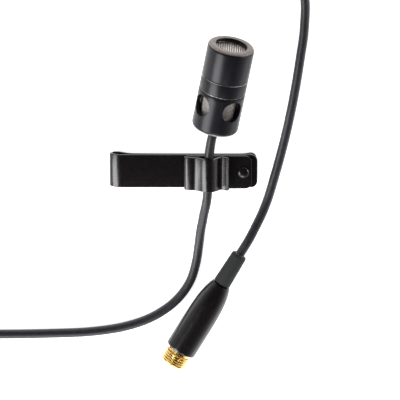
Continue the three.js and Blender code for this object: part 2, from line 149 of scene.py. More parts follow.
# Cable routes, as in the CAD source.
STUB_ROUTE = [(7.2, -7.4, 5.76), (6.76, -10.2, 5.72), (6.56, -12.7, 5.72), (6.42, -16.6, 5.72)]
CHANNEL_ROUTE = [(6.41, -16.75, 5.72), (6.38, -19, 5.72)]  # inside the holder, where CAD has no cable
CLIP_ROUTE = [
    (6.25, -21.3, 5.72), (6.1, -23.2, 5.5), (5.75, -25.5, 5), (5.25, -27.9, 4.2), (4.86, -30.4, 3.3),
    (4.44, -32.9, 2.45), (3.95, -37.3, 1.5), (3.2, -42.4, 1.27), (1.5, -47.7, 1.25), (-2.4, -53, 1.25),
    (-8.3, -57.2, 1.25), (-15.4, -59.8, 1.25), (-24.2, -61.2, 1.25), (-34.6, -61.7, 1.25),
    (-45, -61.9, 1.25), (-54, -61.9, 1.4), (-62, -61.9, 2),
]
PLUG_ROUTE = [
    (-62, -24.1, 3.9), (-57.8, -21.9, 2.8), (-55, -16.6, 1.7), (-53.6, -9, 1.25), (-53.3, 5, 1.25),
    (-53.3, 20, 1.25), (-51.5, 30, 1.25), (-46, 36.5, 1.25), (-37, 38.5, 1.25), (-15, 38.6, 1.25),
    (8, 38.6, 1.25), (20, 38.2, 1.25), (27, 36, 1.25), (30.6, 30.5, 1.25), (30.9, 21.2, 1.25),
    (29.9, 13, 1.25), (28.7, 4.9, 1.25), (27.2, -3.3, 1.25), (25.9, -9.3, 1.25), (24.3, -15.8, 1.25),
    (23.4, -19.1, 1.25), (22.5, -22.4, 1.25), (21.5, -25.6, 1.4), (20.2, -28.8, 1.95),
    (18.6, -32, 2.75), (16.95, -35.1, 3.45), (14.65, -38.94, 3.78),
]
CABLE_STEP = 1.0
RISING_STEPS = 34  # steps of the cable in the stretch by the clip, which bends in the real thing when the clip opens

# ---------------------------------------------------------------- camera
VIEW_TILT = math.radians(18)
VIEW_DISTANCE = 1.1
VIEW_WIDTH = 0.1036
VIEW_TARGET = Vector((0.00426, -0.02548, 0))
SENSOR = 36


def make_camera():
    camera = bpy.data.objects.new("camera", bpy.data.cameras.new("camera"))
    bpy.context.scene.collection.objects.link(camera)
    away = Vector((0, math.sin(VIEW_TILT), math.cos(VIEW_TILT)))
    camera.location = VIEW_TARGET + VIEW_DISTANCE * away
    camera.rotation_euler = (-VIEW_TILT, 0, 0)
    camera.data.sensor_width = SENSOR
    camera.data.lens = SENSOR * VIEW_DISTANCE / VIEW_WIDTH
    camera.data.clip_start = 0.01
    bpy.context.scene.camera = camera


# ---------------------------------------------------------------- materials
def surface(name, dark, light, rough, metallic=0.0, grain=0.4, bump=0.02, stretch=(1, 1, 1), detail=4,
            **shader):
    """A finish that varies between two colours and two roughnesses over grains of the given size."""
    look = bpy.data.materials.new(name)
    look.use_nodes = True
    tree = look.node_tree
    principled = tree.nodes["Principled BSDF"]
    place = tree.nodes.new("ShaderNodeTexCoord")
    scale = tree.nodes.new("ShaderNodeMapping")
    scale.inputs["Scale"].default_value = stretch
    noise = tree.nodes.new("ShaderNodeTexNoise")
    noise.inputs["Scale"].default_value = 1 / (grain * MM)
    noise.inputs["Detail"].default_value = detail
    colours = tree.nodes.new("ShaderNodeValToRGB")
    colours.color_ramp.elements[0].position = 0.3
    colours.color_ramp.elements[0].color = (*dark, 1)
    colours.color_ramp.elements[1].position = 0.7
    colours.color_ramp.elements[1].color = (*light, 1)
    roughness = tree.nodes.new("ShaderNodeMapRange")
    roughness.inputs["To Min"].default_value = rough[0]
    roughness.inputs["To Max"].default_value = rough[1]
    relief = tree.nodes.new("ShaderNodeBump")
    relief.inputs["Strength"].default_value = 1.0
    relief.inputs["Distance"].default_value = bump * MM
    link = tree.links.new
    link(place.outputs["Object"], scale.inputs["Vector"])
    link(scale.outputs["Vector"], noise.inputs["Vector"])
    link(noise.outputs["Fac"], colours.inputs["Fac"])
    link(noise.outputs["Fac"], roughness.inputs["Value"])
    link(noise.outputs["Fac"], relief.inputs["Height"])
    link(colours.outputs["Color"], principled.inputs["Base Color"])
    link(roughness.outputs["Result"], principled.inputs["Roughness"])
    link(relief.outputs["Normal"], principled.inputs["Normal"])
    principled.inputs["Metallic"].default_value = metallic
    for socket, value in shader.items():
        principled.inputs[socket.replace("_", " ")].default_value = value
    return look


LOOKS = {
    "anodised": surface("anodised", (0.006, 0.0055, 0.008), (0.012, 0.011, 0.015), (0.26, 0.36), 0.3,
                        grain=0.5, bump=0.003, stretch=(0.15, 0.15, 4), Specular_IOR_Level=0.3),
    # Paler, warmer anodising for the front face: a painted reflection of the bright light above it.
    "front_face_painted_reflection": surface("front_face_painted_reflection", (0.16, 0.13, 0.115), (0.28, 0.235, 0.21), (0.34, 0.5), 0.4,
                          grain=0.5, bump=0.004),
    # Bare metal at worn edges, also made bright as a painted highlight.
    "wear_and_painted_highlight": surface("wear_and_painted_highlight", (0.05, 0.046, 0.045), (0.6, 0.56, 0.53), (0.3, 0.5), 0.9,
                         grain=2.2, bump=0.002, detail=2),
    "gloss_black": surface("gloss_black", (0.004, 0.003, 0.0035), (0.008, 0.006, 0.007), (0.2, 0.27),
                           grain=0.8, bump=0.0012, detail=2),
    "cable": surface("cable", (0.012, 0.011, 0.014), (0.022, 0.02, 0.026), (0.36, 0.5),
                     grain=0.9, bump=0.01),
    "soft_black": surface("soft_black", (0.012, 0.013, 0.0135), (0.024, 0.025, 0.026), (0.62, 0.8),
                          grain=0.25, bump=0.02, Specular_IOR_Level=0.35),
    "gold": surface("gold", (0.88, 0.66, 0.27), (0.97, 0.77, 0.38), (0.2, 0.25), 1.0,
                    grain=2, bump=0.0003, detail=2),
    # Darker gold for the slots' floors and the thread's grooves: painted shade in the recesses.
    "gold_groove_painted_shade": surface("gold_groove_painted_shade", (0.3, 0.17, 0.05), (0.42, 0.26, 0.09), (0.3, 0.4), 1.0,
                           grain=1.5, bump=0.0003, detail=2),
    # Pale metal for the band on the rear edge: a painted highlight, the reflection of light from below.
    "rear_rim_painted_highlight": surface("rear_rim_painted_highlight", (0.3, 0.29, 0.28), (0.7, 0.68, 0.66), (0.35, 0.5), 0.8,
                          grain=3, bump=0.001, detail=2),
    "steel_mesh": surface("steel_mesh", (0.84, 0.78, 0.72), (0.97, 0.92, 0.87), (0.25, 0.4), 1.0,
                          grain=0.35, bump=0.003),
    # The port screen's steel, darker and less metallic than the grille's: painted shade inside the ports.
    "screen_wire_painted_shade": surface("screen_wire_painted_shade", (0.5, 0.46, 0.42), (0.86, 0.81, 0.76), (0.4, 0.5), 0.35,
                           grain=0.35, bump=0.003),
    "felt": surface("felt", (0.006, 0.006, 0.006), (0.03, 0.027, 0.025), (0.85, 1.0),
                    grain=0.16, bump=0.08, Sheen_Weight=0.3),
    "can_metal": surface("can_metal", (0.5, 0.51, 0.52), (0.7, 0.71, 0.72), (0.25, 0.4), 1.0,
                         grain=0.5, bump=0.005),
    "film": surface("film", (0.6, 0.48, 0.22), (0.82, 0.7, 0.4), (0.1, 0.2), 1.0, grain=1.2, bump=0.01),
    "board": surface("board", (0.02, 0.13, 0.06), (0.04, 0.2, 0.09), (0.4, 0.6), grain=0.5, bump=0.01),
    "insulator": surface("insulator", (0.01, 0.01, 0.012), (0.02, 0.02, 0.024), (0.35, 0.5),
                         grain=0.3, bump=0.01),
    "lead_red": surface("lead_red", (0.3, 0.015, 0.015), (0.45, 0.03, 0.03), (0.35, 0.5), grain=0.4),
    "lead_white": surface("lead_white", (0.6, 0.58, 0.54), (0.78, 0.76, 0.72), (0.35, 0.5), grain=0.4),
    "lead_bare": surface("lead_bare", (0.5, 0.22, 0.09), (0.75, 0.4, 0.2), (0.25, 0.45), 1.0, grain=0.2),
    "floor": surface("floor", (0.93, 0.93, 0.93), (0.95, 0.95, 0.95), (0.85, 0.95), grain=20, bump=0.0),
}


# ---------------------------------------------------------------- mesh helpers
def make_mesh(name, verts, faces, look, place=None, sharp=35):
    """A closed, smooth-shaded mesh from points in millimetres, with its sharp corners kept."""
    mesh = bpy.data.meshes.new(name)
    mesh.from_pydata([Vector(v) * MM for v in verts], [], faces)
    mesh.materials.append(LOOKS[look])
    obj = bpy.data.objects.new(name, mesh)
    bpy.context.scene.collection.objects.link(obj)
    if place is not None:
        obj.matrix_world = place
    shade(obj, sharp)
    return obj


def shade(obj, sharp=35):
    shape = bmesh.new()
    shape.from_mesh(obj.data)
    bmesh.ops.recalc_face_normals(shape, faces=shape.faces)
    for face in shape.faces:
        face.smooth = True
    for edge in shape.edges:
        edge.smooth = edge.calc_face_angle(0) < math.radians(sharp)
    shape.to_mesh(obj.data)
    shape.free()


def accent(obj, look, chosen):
    """Gives a second finish to the faces that chosen(radius, z) picks, in the piece's own frame."""
    obj.data.materials.append(LOOKS[look])
    for face in obj.data.polygons:
        centre = face.center / MM
        if chosen(math.hypot(centre.x, centre.y), centre.z):
            face.material_index = 1


def join(name, parts):
    """One object from several with the same place and look."""
    shape = bmesh.new()
    for part in parts:
        shape.from_mesh(part.data)
    mesh = bpy.data.meshes.new(name)
    shape.to_mesh(mesh)
    shape.free()
    mesh.materials.append(parts[0].data.materials[0])
    obj = bpy.data.objects.new(name, mesh)
    bpy.context.scene.collection.objects.link(obj)
    obj.matrix_world = parts[0].matrix_world
    for part in parts:
        bpy.data.objects.remove(part)
    shade(obj)
    return obj


def apply_modifiers(obj):
    bpy.context.view_layer.update()
    graph = bpy.context.evaluated_depsgraph_get()
    obj.data = bpy.data.meshes.new_from_object(obj.evaluated_get(graph))
    obj.modifiers.clear()


def rounded(outline, radius, steps=ROUNDING_STEPS):
    """The outline with each corner that isn't on the axis rounded off."""
    points = [Vector(p) for p in outline]
    made = []
    for i, corner in enumerate(points):
        before, after = points[i - 1], points[(i + 1) % len(points)]
        if corner.x < 1e-6:
            made.append(tuple(corner))
            continue
        reach = min(radius, 0.45 * (before - corner).length, 0.45 * (after - corner).length)
        start = corner + (before - corner).normalized() * reach
        end = corner + (after - corner).normalized() * reach
        for k in range(steps + 1):
            t = k / steps
            made.append(tuple(start * (1 - t) ** 2 + corner * (2 * t * (1 - t)) + end * t ** 2))
    return made


def lathe(name, outline, look, place=None, segments=96):
    """An outline of (radius, height) turned about z. A radius may be a function of the angle."""
    verts, rings = [], []
    for radius, z in outline:
        if not callable(radius) and radius < 1e-6:
            rings.append([len(verts)])
            verts.append((0, 0, z))
            continue
        rings.append(list(range(len(verts), len(verts) + segments)))
        for i in range(segments):
            angle = TURN * i / segments
            r = radius(angle) if callable(radius) else radius
            verts.append((r * math.cos(angle), r * math.sin(angle), z))
    faces = []
    for low, high in zip(rings, rings[1:] + rings[:1]):
        if len(low) == len(high) == 1:
            continue
        for i in range(segments):
            j = i + 1
            corners = [low[i % len(low)], low[j % len(low)], high[j % len(high)], high[i % len(high)]]
            faces.append(list(dict.fromkeys(corners)))
    return make_mesh(name, verts, faces, look, place)


def arc(centre, radius, start, end, steps):
    angles = np.radians(np.linspace(start, end, steps + 1))
    return [(centre[0] + radius * math.cos(a), centre[1] + radius * math.sin(a)) for a in angles]


def smooth_line(points, spacing):
    """A centripetal Catmull-Rom curve through the points, sampled evenly."""
    points = [np.array(p, float) for p in points]
    points = [2 * points[0] - points[1], *points, 2 * points[-1] - points[-2]]
    fine = []
    for p0, p1, p2, p3 in zip(points, points[1:], points[2:], points[3:]):
        k1 = math.sqrt(np.linalg.norm(p1 - p0))
        k2 = k1 + math.sqrt(np.linalg.norm(p2 - p1))
        k3 = k2 + math.sqrt(np.linalg.norm(p3 - p2))
        for t in np.linspace(k1, k2, 24, endpoint=False):
            a1 = (k1 - t) / k1 * p0 + t / k1 * p1
            a2 = (k2 - t) / (k2 - k1) * p1 + (t - k1) / (k2 - k1) * p2
            a3 = (k3 - t) / (k3 - k2) * p2 + (t - k2) / (k3 - k2) * p3
            b1 = (k2 - t) / k2 * a1 + t / k2 * a2
            b2 = (k3 - t) / (k3 - k1) * a2 + (t - k1) / (k3 - k1) * a3
            fine.append((k2 - t) / (k2 - k1) * b1 + (t - k1) / (k2 - k1) * b2)
    fine.append(points[-2])
    return evenly(fine, spacing)


def evenly(points, spacing):
    points = np.array(points)
    along = np.concatenate([[0], np.cumsum(np.linalg.norm(np.diff(points, axis=0), axis=1))])
    count = max(2, round(along[-1] / spacing) + 1)
    wanted = np.linspace(0, along[-1], count)
    return np.stack([np.interp(wanted, along, points[:, k]) for k in range(points.shape[1])], axis=1)


def tube(name, line, radius, look, sides=16, place=None):
    """A round tube along the line, with its section carried along without twist."""
    line = [Vector(p) for p in line]
    verts, faces = [], []
    side = None
    for i, point in enumerate(line):
        forward = (line[min(i + 1, len(line) - 1)] - line[max(i - 1, 0)]).normalized()
        side = forward.orthogonal() if side is None else side - forward * side.dot(forward)
        side.normalize()
        other = forward.cross(side)
        for k in range(sides):
            angle = TURN * k / sides
            verts.append(point + radius * (math.cos(angle) * side + math.sin(angle) * other))
    for i in range(len(line) - 1):
        for k in range(sides):
            low, high = i * sides, (i + 1) * sides
            m = (k + 1) % sides
            faces.append([low + k, low + m, high + m, high + k])
    faces.append(list(range(sides)))
    faces.append(list(range(len(verts) - sides, len(verts))))
    return make_mesh(name, verts, faces, look, place, sharp=50)


def strip(name, centreline, start_corner, end_corner, look="gloss_black"):
    """A bent strip of sheet as wide as STRIP, with softened edges and round corners at its ends."""
    soft = 0.16
    line = evenly(centreline, 0.2)
    # Extra sections close to each end follow the round corners and the softened end edge.
    close = [0, 0.02, 0.05, 0.1, 0.16, 0.25, 0.4, 0.6, 0.85, 1.2, 1.7]
    along = np.concatenate([[0], np.cumsum(np.linalg.norm(np.diff(line, axis=0), axis=1))])
    run = along[-1]
    places = np.unique(np.concatenate([close, np.arange(1.8, run - 1.75, 0.2), [run - c for c in close]]))
    line = np.stack([np.interp(places, along, line[:, k]) for k in range(2)], axis=1)

    def inset(distance, radius):
        return radius - math.sqrt(max(0, radius**2 - (radius - distance) ** 2)) if distance < radius else 0

    verts, faces = [], []
    quarter = 4
    for i, (x, z) in enumerate(line):
        back, front = line[max(i - 1, 0)], line[min(i + 1, len(line) - 1)]
        tangent = Vector((front[0] - back[0], 0, front[1] - back[1])).normalized()
        normal = Vector((-tangent.z, 0, tangent.x))
        start, end = places[i], run - places[i]
        half = STRIP / 2 - inset(start, start_corner) - inset(end, end_corner)
        thick = SHEET / 2 - inset(min(start, end), soft)
        for cy, cn, first in ((1, 1, 0), (-1, 1, 90), (-1, -1, 180), (1, -1, 270)):
            for k in range(quarter + 1):
                angle = math.radians(first + 90 * k / quarter)
                y = cy * (half - soft) + soft * math.cos(angle)
                n = cn * max(thick - soft, 0.02) + min(soft, thick) * math.sin(angle)
                verts.append(Vector((x, BAR_Y + y, z)) + normal * n)
    ring = 4 * (quarter + 1)
    for i in range(len(line) - 1):
        for k in range(ring):
            m = (k + 1) % ring
            faces.append([i * ring + k, i * ring + m, (i + 1) * ring + m, (i + 1) * ring + k])
    faces.append(list(range(ring)))
    faces.append(list(range(len(verts) - ring, len(verts))))
    return make_mesh(name, verts, faces, look)


def add(obj, body, slot, *nodes):
    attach(obj, body)
    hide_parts(*nodes)
    return obj


# ---------------------------------------------------------------- microphone head
HEAD = (
    Matrix.Translation(HEAD_REAR * MM)
    @ Matrix.Rotation(-HEAD_LEAN, 4, "Z")
    @ Matrix.Rotation(HEAD_LIFT - math.pi / 2, 4, "X")
)
EDGE = 0.12  # softening of the head's turned corners
REAR_PAINTED_HIGHLIGHT = (0.1, 0.6)  # heights of the band on the rear edge painted with a highlight
SEAM_CORNER = 0.14  # width of the rounded corners at the seams, worn and painted with a highlight
FACE_DEPTH = 0.4  # of the front face's paler colour, a painted reflection, down the front rounding


def front_cap():
    turn = arc((HEAD_R - FRONT_ROUND, HEAD_LENGTH - FRONT_ROUND), FRONT_ROUND, 90, 0, 8)
    corners = [
        (HEAD_R, HEAD_LENGTH), (HEAD_R, SEAM_FRONT), (HEAD_BORE, SEAM_FRONT), (HEAD_BORE, HEAD_LENGTH),
    ]
    per_corner = ROUNDING_STEPS + 1
    rear = rounded(corners, EDGE)[per_corner:3 * per_corner]  # the two corners at the seam
    outline = [
        (MOUTH_R, HEAD_LENGTH - MOUTH_ROUND), (MOUTH_R + 0.07, HEAD_LENGTH - 0.07),
        (MOUTH_R + MOUTH_ROUND, HEAD_LENGTH), *turn, *rear,
        (HEAD_BORE, HEAD_LENGTH - LIP), (MOUTH_R, HEAD_LENGTH - LIP),
    ]
    cap = lathe("head_front_cap", outline, "anodised", HEAD, 128)
    # The front face takes the paler colour as a painted reflection.
    accent(cap, "front_face_painted_reflection", lambda r, z: z > HEAD_LENGTH - FACE_DEPTH and r > MOUTH_R + 0.1)
    add(cap, "mic_head", "anodised", "front_cap")


def grille_wires(reach, level):
    """Two crossing sets of wires, each row bending over and under the other set."""
    wires = []
    count = int(reach / WIRE_PITCH)
    for across in (False, True):
        radius = WIRE_R if across else CROSS_WIRE_R
        for row in range(-count, count + 1):
            offset = row * WIRE_PITCH
            half = math.sqrt(reach**2 - offset**2)
            line = []
            for step in np.arange(-half, half, WIRE_PITCH / 4):
                wave = math.cos(math.pi * (step / WIRE_PITCH + row + int(across)))
                z = level + CROSS_WIRE_R * wave
                line.append((offset, step, z) if across else (step, offset, z))
            wires.append(tube("wire", line, radius, "steel_mesh", 6, HEAD))
    return wires


def front_grille():
    """Plain weave of two sets of wires in the head's mouth, inside a thin rim."""
    reach = HEAD_BORE - 0.18
    level = HEAD_LENGTH - LIP - 0.42
    inner, outer = reach - 0.3, reach + 0.08
    low, high = level - 0.15, level + 0.15
    rim = rounded([(inner, low), (outer, low), (outer, high), (inner, high)], 0.06)
    wires = grille_wires(reach, level)
    wires.append(lathe("rim", rim, "steel_mesh", HEAD, 96))
    add(join("head_front_grille", wires), "mic_head", "steel_mesh", "front_grille")


def front_felt():
    top = HEAD_LENGTH - LIP - 0.9
    bottom = top - 0.4
    reach = HEAD_BORE - 0.12
    outline = rounded([(0, bottom), (reach, bottom), (reach, top), (0, top)], EDGE)
    add(lathe("head_front_felt", outline, "felt", HEAD, 64), "mic_head", "felt", "front_felt")


def coupling_ring():
    collar, bore = 4.6, 4.1
    flank = HEAD_R - 0.005  # beyond it is the ring's plain side, which takes no wear or painted highlight
    outline = rounded([
        (bore, COLLAR_REAR), (collar, COLLAR_REAR), (collar, SEAM_REAR + SEAM),
        (HEAD_R, SEAM_REAR + SEAM), (HEAD_R, SEAM_FRONT - SEAM), (SLIDING_R, SEAM_FRONT - SEAM),
        (SLIDING_R, COLLAR_FRONT), (bore, COLLAR_FRONT),
    ], SEAM_CORNER)
    ring = lathe("head_coupling_ring", outline, "anodised", HEAD, 128)
    # The seam corners show worn bare metal with a painted highlight.
    accent(ring, "wear_and_painted_highlight", lambda r, z: HEAD_R - SEAM_CORNER < r < flank and SEAM_REAR < z < SEAM_FRONT)
    add(ring, "mic_head", "anodised", "coupling_ring")


def rear_outline():
    bore = 1.9
    turn = arc((HEAD_R - REAR_ROUND, REAR_ROUND), REAR_ROUND, -90, 0, 9)
    rows = [(HEAD_R, z) for z in np.linspace(2, SEAM_REAR - 0.09, 10)]
    return [
        (bore, 0.1), (2.0, 0), *turn, *rows, (HEAD_R - 0.03, SEAM_REAR - 0.02), (HEAD_R - 0.1, SEAM_REAR),
        (HEAD_BORE, SEAM_REAR), (HEAD_BORE, SHELL_FLOOR), (bore, SHELL_FLOOR),
    ]


def port_cutter(index):
    """A round bar through the shell's wall at one of the ports."""
    turned = Matrix.Rotation(PORT_TURN + TURN * index / PORT_COUNT, 4, "Z")
    raised = Matrix.Translation((0, 0, PORT_Z * MM))
    place = HEAD @ turned @ raised @ Matrix.Rotation(math.pi / 2, 4, "Y")
    inner, outer = HEAD_R - 2.5, HEAD_R + 2
    outline = [(0, inner), (PORT_R, inner), (PORT_R, outer), (0, outer)]
    return lathe("port_cutter", outline, "anodised", place, 72)


def cut_ports(shell):
    cutters = [port_cutter(i) for i in range(PORT_COUNT)]
    for cutter in cutters:
        cut = shell.modifiers.new("port", "BOOLEAN")
        cut.operation = "DIFFERENCE"
        cut.solver = "EXACT"
        cut.object = cutter
    apply_modifiers(shell)
    for cutter in cutters:
        bpy.data.objects.remove(cutter)
    shade(shell, 30)


def soften_ports(shell):
    """Bevels the ports' sharp edges and gives the bevels the worn finish with its painted highlight, as
    the third material.
    """
    soften = shell.modifiers.new("soften", "BEVEL")
    soften.width = 0.07 * MM
    soften.segments = 2
    soften.limit_method = "ANGLE"
    soften.angle_limit = math.radians(40)
    soften.harden_normals = True
    shell.data.materials.append(LOOKS["wear_and_painted_highlight"])
    soften.material = 2
    apply_modifiers(shell)


def rear_shell():
    low, high = REAR_PAINTED_HIGHLIGHT
    shell = lathe("head_rear_shell", rear_outline(), "anodised", HEAD, 160)
    cut_ports(shell)
    # Whatever materials the cut leaves, the shell starts again from one finish.
    shell.data.materials.clear()
    shell.data.materials.append(LOOKS["anodised"])
    shell.data.polygons.foreach_set("material_index", [0] * len(shell.data.polygons))
    # A band of the rear edge is painted pale as a highlight.
    accent(shell, "rear_rim_painted_highlight", lambda r, z: low < z < high and r > HEAD_BORE)
    soften_ports(shell)
    add(shell, "mic_head", "anodised", "rear_shell")


def port_screen():
    """Woven wire wrapped inside the ports, its wires at 45 degrees to the head's axis."""
    low, high = 1.45, COLLAR_REAR - 0.2
    spacing = TURN * SCREEN_R / SCREEN_WIRES / 2
    steps = int((high - low) / (spacing / 2))
    wires = []
    for hand in (1, -1):
        for k in range(SCREEN_WIRES):
            line = []
            for step in range(steps + 1):
                climb = step * spacing / 2
                angle = TURN * k / SCREEN_WIRES + hand * climb / SCREEN_R
                wave = hand * math.cos(math.pi * step / 2 + math.pi * k)
                r = SCREEN_R + SCREEN_WIRE_R * 0.9 * wave
                line.append((r * math.cos(angle), r * math.sin(angle), low + climb))
            # The screen's wires take the darkened steel as painted shade.
            wires.append(tube("wire", line, SCREEN_WIRE_R, "screen_wire_painted_shade", 4, HEAD))
    add(join("head_port_screen", wires), "mic_head", "steel_mesh", "port_screen")


def port_shade_sleeve():
    """A dark sleeve behind the screen, put there as painted shade inside the head, with ribs between the
    ports that reach out to the shell.
    """
    inner, outer = 3.85, 4.05
    low, high = 1.5, COLLAR_REAR - 0.25

    def outside(angle):
        quarter = TURN / PORT_COUNT
        from_port = abs(((angle - PORT_TURN) / quarter + 0.5) % 1 - 0.5) * quarter
        return SLIDING_R if from_port > RIB_START else outer

    outline = [(inner, low), (outside, low), (outside, high), (inner, high)]
    add(lathe("head_port_shade_sleeve", outline, "felt", HEAD, 64), "mic_head", "felt")


def cable_bushing():
    outline = rounded([(1.3, -0.35), (1.8, -0.35), (1.8, 1.5), (2.7, 1.5), (2.7, 2.3), (1.3, 2.3)], 0.15)
    bushing = lathe("head_cable_bushing", outline, "soft_black", HEAD, 64)
    add(bushing, "mic_head", "soft_black", "cable_bushing")


def head_cable():
    axis = (HEAD @ Vector((0, 0, 1)) - HEAD @ Vector((0, 0, 0))).normalized()
    inside = [HEAD_REAR + axis * z for z in (5, 3, 1.2, -0.6)]
    line = smooth_line([*inside, *STUB_ROUTE], 0.3)
    add(tube("head_cable_visual", line, CABLE_R, "cable", 24), "mic_cable", "cable", "head_cable")


# ---------------------------------------------------------------- tie clip
def front_leaf():
    """The bar: the spring fold's outer end, the shoulder, and the flat, which dips under the holder."""
    held = FRONT_LEAF_Z - JOGGLE
    flat = [(JOGGLE_X, FRONT_LEAF_Z), (JOGGLE_X + JOGGLE_RUN, held), (BAR_END, held)]
    under = (SHOULDER_X, FRONT_LEAF_Z - SHOULDER_R)
    shoulder = arc(under, SHOULDER_R, 90 + SHOULDER_TURN, 90, 16)[1:]
    line = arc(BULB, BULB_R, BULB_FRONT_START, 90 + SHOULDER_TURN, 20) + shoulder + flat
    add(strip("clip_front_leaf", line, FOLD_CORNER, CORNER), "front_clip", "gloss_black", "front_leaf")


def rear_leaf():
    run = [
        (-16.4, 0.5), (-15.2, 1.2), (-13.9, 1.75), (-11, 2), (-5, 2.1), (5, 2.15), (13, 2.18),
        (15.4, 2.1), (16.4, 1.75), (17.6, 1), (18.7, 0.38),
    ]
    line = smooth_line([*arc(BULB, BULB_R, *BULB_REAR, 4), *run], 0.2)
    add(strip("clip_rear_leaf", line, FOLD_CORNER, CORNER), "rear_leaf", "gloss_black", "rear_leaf")


def holder_base():
    line = arc(FOLD, FOLD_R, *FOLD_BASE, 6) + [(HOLDER_END, HOLDER_BASE_Z)]
    add(strip("clip_holder_base", line, FOLD_CORNER, CORNER), "front_clip", "gloss_black", "holder_base")


def holder_spring():
    """The tongue: from the holder's fold over the cable, and up at its free end."""
    hump = [
        (1.45, 5.42), (2.1, 5.55), (2.8, 5.6), (3.5, 5.85), (4.4, 6.45), (5.4, 7.2), (6.45, 7.5),
        (7.5, 7.15), (8.5, 6.2), (9.2, 5.35), (9.8, 5.08), (10.6, 5.42), (11.6, 6.15),
    ]
    line = arc(FOLD, FOLD_R, *FOLD_SPRING, 9) + [tuple(p) for p in smooth_line(hump, 0.2)]
    tongue = strip("clip_holder_spring", line, FOLD_CORNER, TONGUE_CORNER)
    add(tongue, "cable_spring", "gloss_black", "holder_spring")


def holder_rivet():
    dome = [
        (0, 2.8), (0.8, 2.8), (0.8, 4.45), (1.45, 4.45), (1.45, 4.6), (1.3, 4.78), (1, 4.92),
        (0.55, 5.02), (0, 5.05),
    ]
    place = Matrix.Translation(Vector((RIVET_X, BAR_Y, 0)) * MM)
    add(lathe("clip_rivet", dome, "gloss_black", place, 48), "front_clip", "gloss_black", "holder_rivet")


# ---------------------------------------------------------------- free cable
def coil_line():
    """Turns in along the lower layer, a rise at the middle, and turns out along the upper one."""
    line = []
    steps = 72
    total = round(2 * COIL_TURNS * steps)
    rise = 0.5 * steps
    for i in range(total + 1):
        from_middle = abs(i - total / 2) / steps
        radius = COIL_OUTER - COIL_PITCH * (COIL_TURNS - from_middle)
        level = min(1, max(0, (i - total / 2) / rise + 0.5))
        angle = -math.pi / 2 - TURN * i / steps
        z = COIL.z + COIL_LAYER * level * level * (3 - 2 * level)
        line.append((COIL.x + radius * math.cos(angle), COIL.y + radius * math.sin(angle), z))
    return line


def free_cable():
    """Two pieces of one cable: the stretch by the clip, attached to no body, and the rest on the surface.
    """
    coil = coil_line()
    first = smooth_line([*CHANNEL_ROUTE, *CLIP_ROUTE, coil[0]], CABLE_STEP)
    last = smooth_line([coil[-1], *PLUG_ROUTE], CABLE_STEP)
    line = evenly([*first, *coil[1:-1], *last], CABLE_STEP)
    rising, lying = line[:RISING_STEPS + 1], line[RISING_STEPS:]
    stretch = tube("cable_at_clip", rising, CABLE_R, "cable", 16)
    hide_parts("cable_clip_run")
    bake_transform(stretch)
    cable = tube("cable_free", lying, CABLE_R, "cable", 16)
    add(cable, "rear_leaf", "cable", "cable_coil", "cable_plug_run")
    return (stretch, rising), (cable, lying)


def tie_path():
    """The middle line of a band round the bundle, as (distance from the coil's middle, height)."""
    inner = COIL_OUTER - COIL_PITCH * COIL_TURNS - CABLE_R - TIE_INNER_GAP
    outer = COIL_OUTER + CABLE_R + TIE_GAP
    top = COIL.z + COIL_LAYER + CABLE_R + TIE_GAP
    half = TIE_SHEET / 2
    corners = [
        (inner - half, half), (outer + half, half), (outer + half, top + half), (inner - half, top + half),
    ]
    return rounded(corners, 0.8, 6)


def tie_band(name, place):
    """A closed band along the path, its section a flat oblong with softened edges."""
    section = ((-1, -1), (-0.96, -1), (0.96, -1), (1, -1), (1, 1), (0.96, 1), (-0.96, 1), (-1, 1))
    ring = len(section)
    half = TIE_SHEET / 2
    path = tie_path()
    count = len(path)
    verts, faces = [], []
    for i, (x, z) in enumerate(path):
        before, after = Vector(path[i - 1]), Vector(path[(i + 1) % count])
        along = (after - before).normalized()
        out = Vector((along.y, -along.x))
        for y, n in section:
            offset = out * n * half * (0.94 if abs(y) < 1 else 0.6)
            verts.append((x + offset.x, y * TIE_WIDTH / 2, z + offset.y))
    for i in range(count):
        j = (i + 1) % count
        for k in range(ring):
            m = (k + 1) % ring
            faces.append([i * ring + k, i * ring + m, j * ring + m, j * ring + k])
    return make_mesh(name, verts, faces, "soft_black", place, 60)


def coil_ties():
    """Hook-and-loop bands round the bundle, on the right and left of the coil."""
    ties = []
    for name, turn in (("right", 0), ("left", math.pi)):
        place = Matrix.Translation((COIL.x * MM, COIL.y * MM, 0)) @ Matrix.Rotation(turn, 4, "Z")
        tie = tie_band("coil_tie_" + name + "_band", place)
        ties.append(add(tie, "rear_leaf", "soft_black", "coil_tie_" + name))
    return ties


# ---------------------------------------------------------------- plug
def plug_place():
    flat = math.sqrt(1 - PLUG_LIFT**2)
    axis = Vector((math.cos(PLUG_HEADING) * flat, math.sin(PLUG_HEADING) * flat, PLUG_LIFT))
    turn = Vector((0, 0, 1)).rotation_difference(axis).to_matrix().to_4x4()
    return Matrix.Translation(PLUG_START * MM) @ turn


PLUG = plug_place()


def strain_relief():
    throat = BARREL_START + 1.4
    bore, neck = 1.3, 1.65
    outline = rounded([
        (bore, 0), (1.9, 0), (2.05, 0.5), (2.25, RELIEF_LENGTH), (neck, RELIEF_LENGTH), (neck, throat),
        (bore, throat),
    ], 0.14)
    relief = lathe("plug_relief", outline, "soft_black", PLUG, 64)
    return add(relief, "rear_leaf", "soft_black", "plug_strain_relief")


def barrel_radius(z):
    along = min((z - BARREL_START) / (BARREL_END - BARREL_START), 1)
    return BARREL_NOSE_R + (BARREL_R - BARREL_NOSE_R) * (1 - (1 - along) ** BARREL_SWELL)


